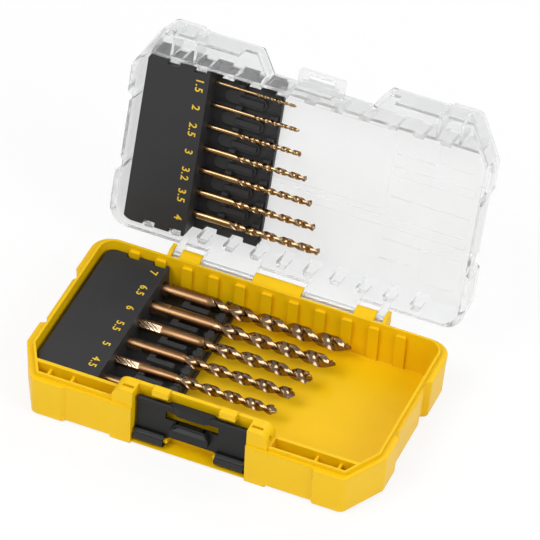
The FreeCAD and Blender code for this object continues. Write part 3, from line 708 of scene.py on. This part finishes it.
class DrillEntry(NamedTuple):
    """One drill of a row, in millimetres and degrees.

    Attributes:
        size: Nominal diameter.
        length: Overall length.
        flutes: Length of the spiral part with its point.
        reach: How far the drill stands out of the label block.
        tip_turn: Turn of the lands at the tip about the axis.
        flat_turn: Turn of the first flat from upright, on a large drill.
    """

    size: float
    length: float
    flutes: float
    reach: float
    tip_turn: float
    flat_turn: float = 0.0


@dataclass(frozen=True)
class DrillRow:
    """The drills of one half of the case, in millimetres and degrees.

    Attributes:
        half: The half of the case.
        z: Z of the axes with the lid closed.
        pitch: Spacing of the axes along Y.
        middle: Y of the row's middle.
        helix: Helix angle of the flutes at the tip.
        near_lead: Lead of the flutes at the shank, as a share of the lead at the tip.
        entries: The drills from the hinge side to the latch side.
        face: X of the label block's face.
    """

    half: Half
    z: float
    pitch: float
    middle: float
    helix: float
    near_lead: float
    entries: tuple[DrillEntry, ...]
    face: float = -51.6

    def drills(self) -> list[TwistDrill]:
        """Set out the row.

        Returns:
            Its drills, from the hinge side to the latch side.
        """
        start = self.middle + self.pitch * (len(self.entries) - 1) / 2
        return [TwistDrill(size=entry.size, length=entry.length, flutes=entry.flutes, half=self.half,
                           tip=self.face + entry.reach, y=start - self.pitch * i, z=self.z,
                           tip_turn=entry.tip_turn, flat_turn=entry.flat_turn,
                           helix=self.helix, near_lead=self.near_lead)
                for i, entry in enumerate(self.entries)]


BASE_ROW = DrillRow(half=Half.BASE, z=12.3, pitch=13.65, middle=7.0, helix=36.0, near_lead=1.0, entries=(
    DrillEntry(size=7.0, length=109.0, flutes=73.0, reach=95.5, tip_turn=140.0, flat_turn=100.0),
    DrillEntry(size=6.5, length=101.0, flutes=63.0, reach=93.1, tip_turn=140.0, flat_turn=100.0),
    DrillEntry(size=6.0, length=93.0, flutes=57.0, reach=87.0, tip_turn=75.0, flat_turn=36.0),
    DrillEntry(size=5.5, length=93.0, flutes=57.0, reach=83.9, tip_turn=55.0, flat_turn=100.0),
    DrillEntry(size=5.0, length=86.0, flutes=52.0, reach=80.5, tip_turn=20.0, flat_turn=36.0),
    DrillEntry(size=4.5, length=80.0, flutes=47.0, reach=73.0, tip_turn=60.0, flat_turn=100.0)))
LID_ROW = DrillRow(half=Half.LID, z=33.6, pitch=11.55, middle=6.0, helix=33.0, near_lead=0.85, entries=(
    DrillEntry(size=4.0, length=75.0, flutes=46.0, reach=64.4, tip_turn=100.0),
    DrillEntry(size=3.5, length=70.0, flutes=43.0, reach=60.2, tip_turn=115.0),
    DrillEntry(size=3.2, length=65.0, flutes=38.0, reach=56.6, tip_turn=120.0),
    DrillEntry(size=3.0, length=61.0, flutes=36.0, reach=52.0, tip_turn=110.0),
    DrillEntry(size=2.5, length=57.0, flutes=32.0, reach=47.4, tip_turn=20.0),
    DrillEntry(size=2.0, length=49.0, flutes=24.0, reach=44.5, tip_turn=80.0),
    DrillEntry(size=1.5, length=45.5, flutes=20.0, reach=41.0, tip_turn=60.0)))


@dataclass
class SizeNumbers:
    """Printed drill sizes on the two label blocks, in millimetres.

    Attributes:
        base_x: X of the numbers' middle on the base block.
        base_z: Z of the base block's top.
        lid_x: X of the numbers' middle on the lid block, with the lid closed.
        lid_z: Z of the lid block's face, with the lid closed.
        height: Size of the type.
        print_depth: How far the print stands out.
        bold: How far the strokes are thickened.
        spacing: Spacing of the characters, where 1 is usual.
        curve_steps: Steps of each curve in the type.
        merge_below: Points closer than this are one.
    """

    base_x: float = -57.2
    base_z: float = 20.2
    lid_x: float = -56.2
    lid_z: float = 24.6
    height: float = 5.4
    print_depth: float = 0.04
    bold: float = 0.09
    spacing: float = 1.12
    curve_steps: int = 4
    merge_below: float = 0.0001

    def build(self, drills: list[TwistDrill], material: bpy.types.Material) -> list[bpy.types.Object]:
        """Print each drill's size beside its socket.

        Args:
            drills: The drills of both halves.
            material: The print's material.

        Returns:
            One piece for each number.
        """
        return [self._number(drill, material) for drill in drills]

    def _number(self, drill: TwistDrill, material: bpy.types.Material) -> bpy.types.Object:
        """Print one number.

        Args:
            drill: The drill whose size it gives.
            material: The print's material.

        Returns:
            The number, riding on its rack.
        """
        bm = self._type(f"{drill.size:g}")
        bmesh.ops.transform(bm, matrix=self._place(drill), verts=bm.verts)
        bmesh.ops.remove_doubles(bm, verts=bm.verts, dist=self.merge_below * MM)
        piece = new_piece("number_" + drill.node.removeprefix("drill_"), bm, material)
        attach(piece, drill.half.value)
        return piece

    def _type(self, words: str) -> bmesh.types.BMesh:
        """Set a text in type.

        Args:
            words: The text.

        Returns:
            Its mesh, centred on the origin and facing up.
        """
        curve = bpy.data.curves.new("size", "FONT")
        curve.body = words
        curve.size = self.height * MM
        curve.align_x = "CENTER"
        curve.align_y = "CENTER"
        curve.extrude = self.print_depth * MM
        curve.offset = self.bold * MM
        curve.space_character = self.spacing
        curve.resolution_u = self.curve_steps
        text = bpy.data.objects.new("size", curve)
        bpy.context.scene.collection.objects.link(text)
        bpy.context.view_layer.update()
        mesh = bpy.data.meshes.new_from_object(text.evaluated_get(bpy.context.evaluated_depsgraph_get()))
        bm = bmesh.new()
        bm.from_mesh(mesh)
        bpy.data.objects.remove(text)
        bpy.data.meshes.remove(mesh)
        return bm

    def _place(self, drill: TwistDrill) -> Matrix:
        """Work out where a number goes.

        Args:
            drill: The drill whose size it gives.

        Returns:
            The number's place and turn, in metres.
        """
        if drill.half is Half.BASE:
            turn = Matrix(((0, 1, 0), (-1, 0, 0), (0, 0, 1))).to_4x4()
            return Matrix.Translation(Vector((self.base_x, drill.y, self.base_z)) * MM) @ turn
        turn = Matrix(((0, 1, 0), (1, 0, 0), (0, 0, -1))).to_4x4()
        return HINGE.opened() @ Matrix.Translation(Vector((self.lid_x, drill.y, self.lid_z)) * MM) @ turn


@dataclass
class LatchTrim:
    """Brim and cheeks of the latch's scoop, and the rolled fronts of its feet, in millimetres.

    Attributes:
        front: Y of the latch's front.
        window_low: Z of the lower edge of its window.
        brim_half: Half the brim's length.
        brim_reach: How far the brim stands out.
        brim_low: How far the brim reaches below the window's edge.
        brim_high: How far it reaches above that edge.
        cheek: Thickness of the cheeks.
        lip_half: Half the length of the scoop's lip.
        lip_reach: How far the lip stands out.
        lip_z: Z of the lip's upper edge.
        pivot_y: Y of the pivot.
        pivot_z: Z of the pivot.
        foot_from: X where each foot starts.
        foot_to: X where each foot ends.
        roll: Outline of a foot's front, as Y and Z from the pivot.
    """

    front: float = -46.2
    window_low: float = 18.3
    brim_half: float = 7.1
    brim_reach: float = 2.4
    brim_low: float = 0.3
    brim_high: float = 0.9
    cheek: float = 1.0
    lip_half: float = 9.4
    lip_reach: float = 3.4
    lip_z: float = 15.7
    pivot_y: float = -46.4
    pivot_z: float = 5.0
    foot_from: float = 12.8
    foot_to: float = 27.3
    roll: Pairs = (
        (0.1, 3.4), (-1.0, 3.4), (-3.5, 0.6), (-3.4, -0.8), (-2.8, -2.0), (-1.6, -3.05),
        (-1.2, -2.0), (-2.3, 0.0), (-1.2, 2.0), (0.1, 2.4))

    def build(self, material: bpy.types.Material) -> bpy.types.Object:
        """Build the trim as one piece that rides on the latch.

        Args:
            material: The latch's material.

        Returns:
            The piece.
        """
        bm = bmesh.new()
        low = self.window_low - self.brim_low
        high = self.window_low + self.brim_high
        shelf = (self.front, self.front - self.brim_reach)
        lip = (self.front, self.front - self.lip_reach)
        ends = (-self.brim_half, self.brim_half)
        self._block(bm, [(x, y, z) for x in ends for y in shelf for z in (low, high)])
        for side in (-1, 1):
            top = [(side * (self.brim_half - t), y, high) for t in (0.0, self.cheek) for y in shelf]
            foot = [(side * (self.lip_half - t), y, self.lip_z) for t in (0.0, self.cheek) for y in lip]
            self._block(bm, top + foot)
            self._foot(bm, side)
        bmesh.ops.recalc_face_normals(bm, faces=bm.faces)
        piece = new_piece("latch_trim", bm, material)
        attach(piece, "latch")
        return piece

    def _block(self, bm: bmesh.types.BMesh, corners: list[Triple]) -> None:
        """Add the block between some corners."""
        bmesh.ops.convex_hull(bm, input=[bm.verts.new(Vector(corner) * MM) for corner in corners])

    def _foot(self, bm: bmesh.types.BMesh, side: int) -> None:
        """Add the rolled front of one foot.

        Args:
            bm: The mesh.
            side: -1 for the left foot and 1 for the right one.
        """
        points = [Vector((side * self.foot_from, self.pivot_y + y, self.pivot_z + z)) * MM
                  for y, z in self.roll]
        face = bm.faces.new([bm.verts.new(point) for point in points])
        made = bmesh.ops.extrude_face_region(bm, geom=[face], use_keep_orig=True)["geom"]
        verts = [item for item in made if isinstance(item, bmesh.types.BMVert)]
        bmesh.ops.translate(bm, vec=(side * (self.foot_to - self.foot_from) * MM, 0, 0), verts=verts)


@dataclass
class CaseFinishes:
    """Which finish each CAD node that stays in view gets.

    Attributes:
        groups: The shared node groups.
        nodes: The finish of each node.
        made: The materials that are built so far, by name.
    """

    groups: SurfaceGroups
    nodes: dict[str, Finish] = field(default_factory=lambda: {
        "base_tray": YELLOW, "hinge_pin": STEEL, "latch": BLACK, "base_bit_rack": CHARCOAL,
        "lid_shell": CLEAR, "lid_bit_rack": CHARCOAL})
    made: dict[str, bpy.types.Material] = field(default_factory=dict)

    def material(self, finish: Finish) -> bpy.types.Material:
        """Give the material of a finish, built at its first use.

        Args:
            finish: The finish.

        Returns:
            Its material.
        """
        if finish.name not in self.made:
            self.made[finish.name] = finish.material(self.groups)
        return self.made[finish.name]

    def dress(self, objects: dict[str, bpy.types.Object]) -> None:
        """Give the CAD nodes their finishes.

        Args:
            objects: The CAD objects by node name.
        """
        for name, finish in self.nodes.items():
            mesh = objects[name].data
            mesh.materials.clear()
            mesh.materials.append(self.material(finish))


class Lamp(NamedTuple):
    """A soft square lamp.

    Attributes:
        name: The lamp's name.
        at: Its place in metres.
        size: Its side in metres.
        power: Its power in watts.
    """

    name: str
    at: Triple
    size: float
    power: float


@dataclass
class Studio:
    """Floor, soft light and the camera at the photograph's angle, in metres and degrees.

    Attributes:
        camera_at: The camera's place.
        azimuth: Its turn round the case.
        elevation: Its angle above the floor.
        roll: Its roll.
        lens: Its focal length, in millimetres.
        sensor: Its sensor's width, in millimetres.
        clip: Nearest and farthest distance that it sees.
        lamps: The lamps.
        aim: The point that the lamps face.
        floor_half: Half the floor's side.
        floor_drop: How far the floor lies below the case.
        floor_tone: The floor's own grey.
        floor_roughness: The floor's roughness.
        backdrop: How far the floor shows as plain white, from 0 to 1.
        surround: Grey of the world to the camera and through clear plastic.
        sky_from: Height at which the world's light starts to rise, from -1 to 1.
        sky_low: The world's light below that height.
        sky_high: The world's light straight above.
    """

    camera_at: Triple = (0.6474, -1.7442, 1.7337)
    azimuth: float = 19.907
    elevation: float = 41.655
    roll: float = 4.03
    lens: float = 365.4
    sensor: float = 36.0
    clip: tuple[float, float] = (0.05, 50.0)
    lamps: tuple[Lamp, ...] = (
        Lamp("key", at=(-0.9, -1.3, 2.0), size=1.4, power=32.0),
        Lamp("fill", at=(1.7, -0.6, 1.3), size=1.2, power=18.5),
        Lamp("back", at=(0.2, 1.8, 1.7), size=1.2, power=11.5))
    aim: Triple = (0.0, 0.0, 0.04)
    floor_half: float = 8.0
    floor_drop: float = 0.0002
    floor_tone: float = 0.85
    floor_roughness: float = 0.9
    backdrop: float = 0.82
    surround: float = 0.94
    sky_from: float = -0.2
    sky_low: float = 0.28
    sky_high: float = 0.62

    def build(self) -> None:
        """Set up the world, floor, lamps, camera and view transform."""
        scene = bpy.context.scene
        scene.view_settings.view_transform = "Standard"
        self._world(scene)
        self._floor()
        for lamp in self.lamps:
            self._hang(lamp)
        self._camera(scene)

    def _world(self, scene: bpy.types.Scene) -> None:
        """Pale surroundings, brighter above, and plain to the camera and through clear plastic.

        Args:
            scene: The scene.
        """
        world = bpy.data.worlds.new("studio")
        scene.world = world
        world.use_nodes = True
        nodes, links = world.node_tree.nodes, world.node_tree.links
        place = nodes.new("ShaderNodeTexCoord")
        split = nodes.new("ShaderNodeSeparateXYZ")
        ramp = nodes.new("ShaderNodeMapRange")
        ramp.inputs["From Min"].default_value = self.sky_from
        ramp.inputs["To Min"].default_value = self.sky_low
        ramp.inputs["To Max"].default_value = self.sky_high
        links.new(place.outputs["Generated"], split.inputs["Vector"])
        links.new(split.outputs["Z"], ramp.inputs["Value"])
        path = nodes.new("ShaderNodeLightPath").outputs
        seen = add_larger(world.node_tree, path["Is Camera Ray"], path["Is Transmission Ray"])
        tone = nodes.new("ShaderNodeMix")
        tone.data_type = "RGBA"
        tone.inputs["B"].default_value = grey(self.surround)
        links.new(seen, tone.inputs["Factor"])
        links.new(ramp.outputs["Result"], tone.inputs["A"])
        links.new(tone.outputs["Result"], nodes["Background"].inputs["Color"])

    def _floor(self) -> None:
        """White floor that shows pale to camera, gloss and clear plastic, and keeps the shadow."""
        bm = bmesh.new()
        bmesh.ops.create_grid(bm, x_segments=1, y_segments=1, size=self.floor_half)
        bmesh.ops.translate(bm, vec=(0, 0, -self.floor_drop), verts=bm.verts)
        material = bpy.data.materials.new("white floor")
        material.use_nodes = True
        nodes, links = material.node_tree.nodes, material.node_tree.links
        shader = nodes["Principled BSDF"]
        shader.inputs["Base Color"].default_value = grey(self.floor_tone)
        shader.inputs["Roughness"].default_value = self.floor_roughness
        glow = nodes.new("ShaderNodeEmission")
        path = nodes.new("ShaderNodeLightPath").outputs
        seen = add_larger(material.node_tree, path["Is Camera Ray"], path["Is Glossy Ray"])
        seen = add_larger(material.node_tree, seen, path["Is Transmission Ray"])
        share = nodes.new("ShaderNodeMath")
        share.operation = "MULTIPLY"
        share.inputs[1].default_value = self.backdrop
        mix = nodes.new("ShaderNodeMixShader")
        links.new(seen, share.inputs[0])
        links.new(share.outputs["Value"], mix.inputs["Fac"])
        links.new(shader.outputs["BSDF"], mix.inputs[1])
        links.new(glow.outputs["Emission"], mix.inputs[2])
        links.new(mix.outputs["Shader"], nodes["Material Output"].inputs["Surface"])
        new_piece("floor", bm, material)

    def _hang(self, lamp: Lamp) -> None:
        """Hang a lamp that faces the case.

        Args:
            lamp: The lamp.
        """
        data = bpy.data.lights.new(lamp.name, "AREA")
        data.size = lamp.size
        data.energy = lamp.power
        hung = bpy.data.objects.new(lamp.name, data)
        hung.location = lamp.at
        way = Vector(self.aim) - Vector(lamp.at)
        hung.rotation_euler = way.to_track_quat("-Z", "Y").to_euler()
        bpy.context.scene.collection.objects.link(hung)

    def _camera(self, scene: bpy.types.Scene) -> None:
        """Place the camera.

        Args:
            scene: The scene.
        """
        azimuth = math.radians(self.azimuth)
        elevation = math.radians(self.elevation)
        roll = math.radians(self.roll)
        forward = Vector((-math.sin(azimuth) * math.cos(elevation),
                          math.cos(azimuth) * math.cos(elevation),
                          -math.sin(elevation)))
        level = Vector((math.cos(azimuth), math.sin(azimuth), 0.0))
        rise = level.cross(forward)
        right = level * math.cos(roll) + rise * math.sin(roll)
        up = rise * math.cos(roll) - level * math.sin(roll)
        data = bpy.data.cameras.new("camera")
        data.sensor_width = self.sensor
        data.lens = self.lens
        data.clip_start, data.clip_end = self.clip
        camera = bpy.data.objects.new("camera", data)
        turn = Matrix((right, up, -forward)).transposed().to_4x4()
        camera.matrix_world = Matrix.Translation(Vector(self.camera_at)) @ turn
        scene.collection.objects.link(camera)
        scene.camera = camera


def main() -> None:
    """Load the frame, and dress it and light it."""
    logging.basicConfig(level=logging.INFO, format="%(name)s: %(message)s")
    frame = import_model()
    finishes = CaseFinishes(SurfaceGroups())
    finishes.dress(frame["nodes"])
    drills = BASE_ROW.drills() + LID_ROW.drills()
    for drill in drills:
        fluted, shank = DRILL_FINISHES[drill.half]
        piece = drill.build(finishes.material(fluted), finishes.material(GRIP), finishes.material(shank))
        LOG.info("built %s", piece.name)
    trim = LatchTrim().build(finishes.material(BLACK))
    LOG.info("built %s", trim.name)
    for number in SizeNumbers().build(drills, finishes.material(PRINT)):
        LOG.info("printed %s", number.name)
    Studio().build()


if __name__ == "__main__":
    main()
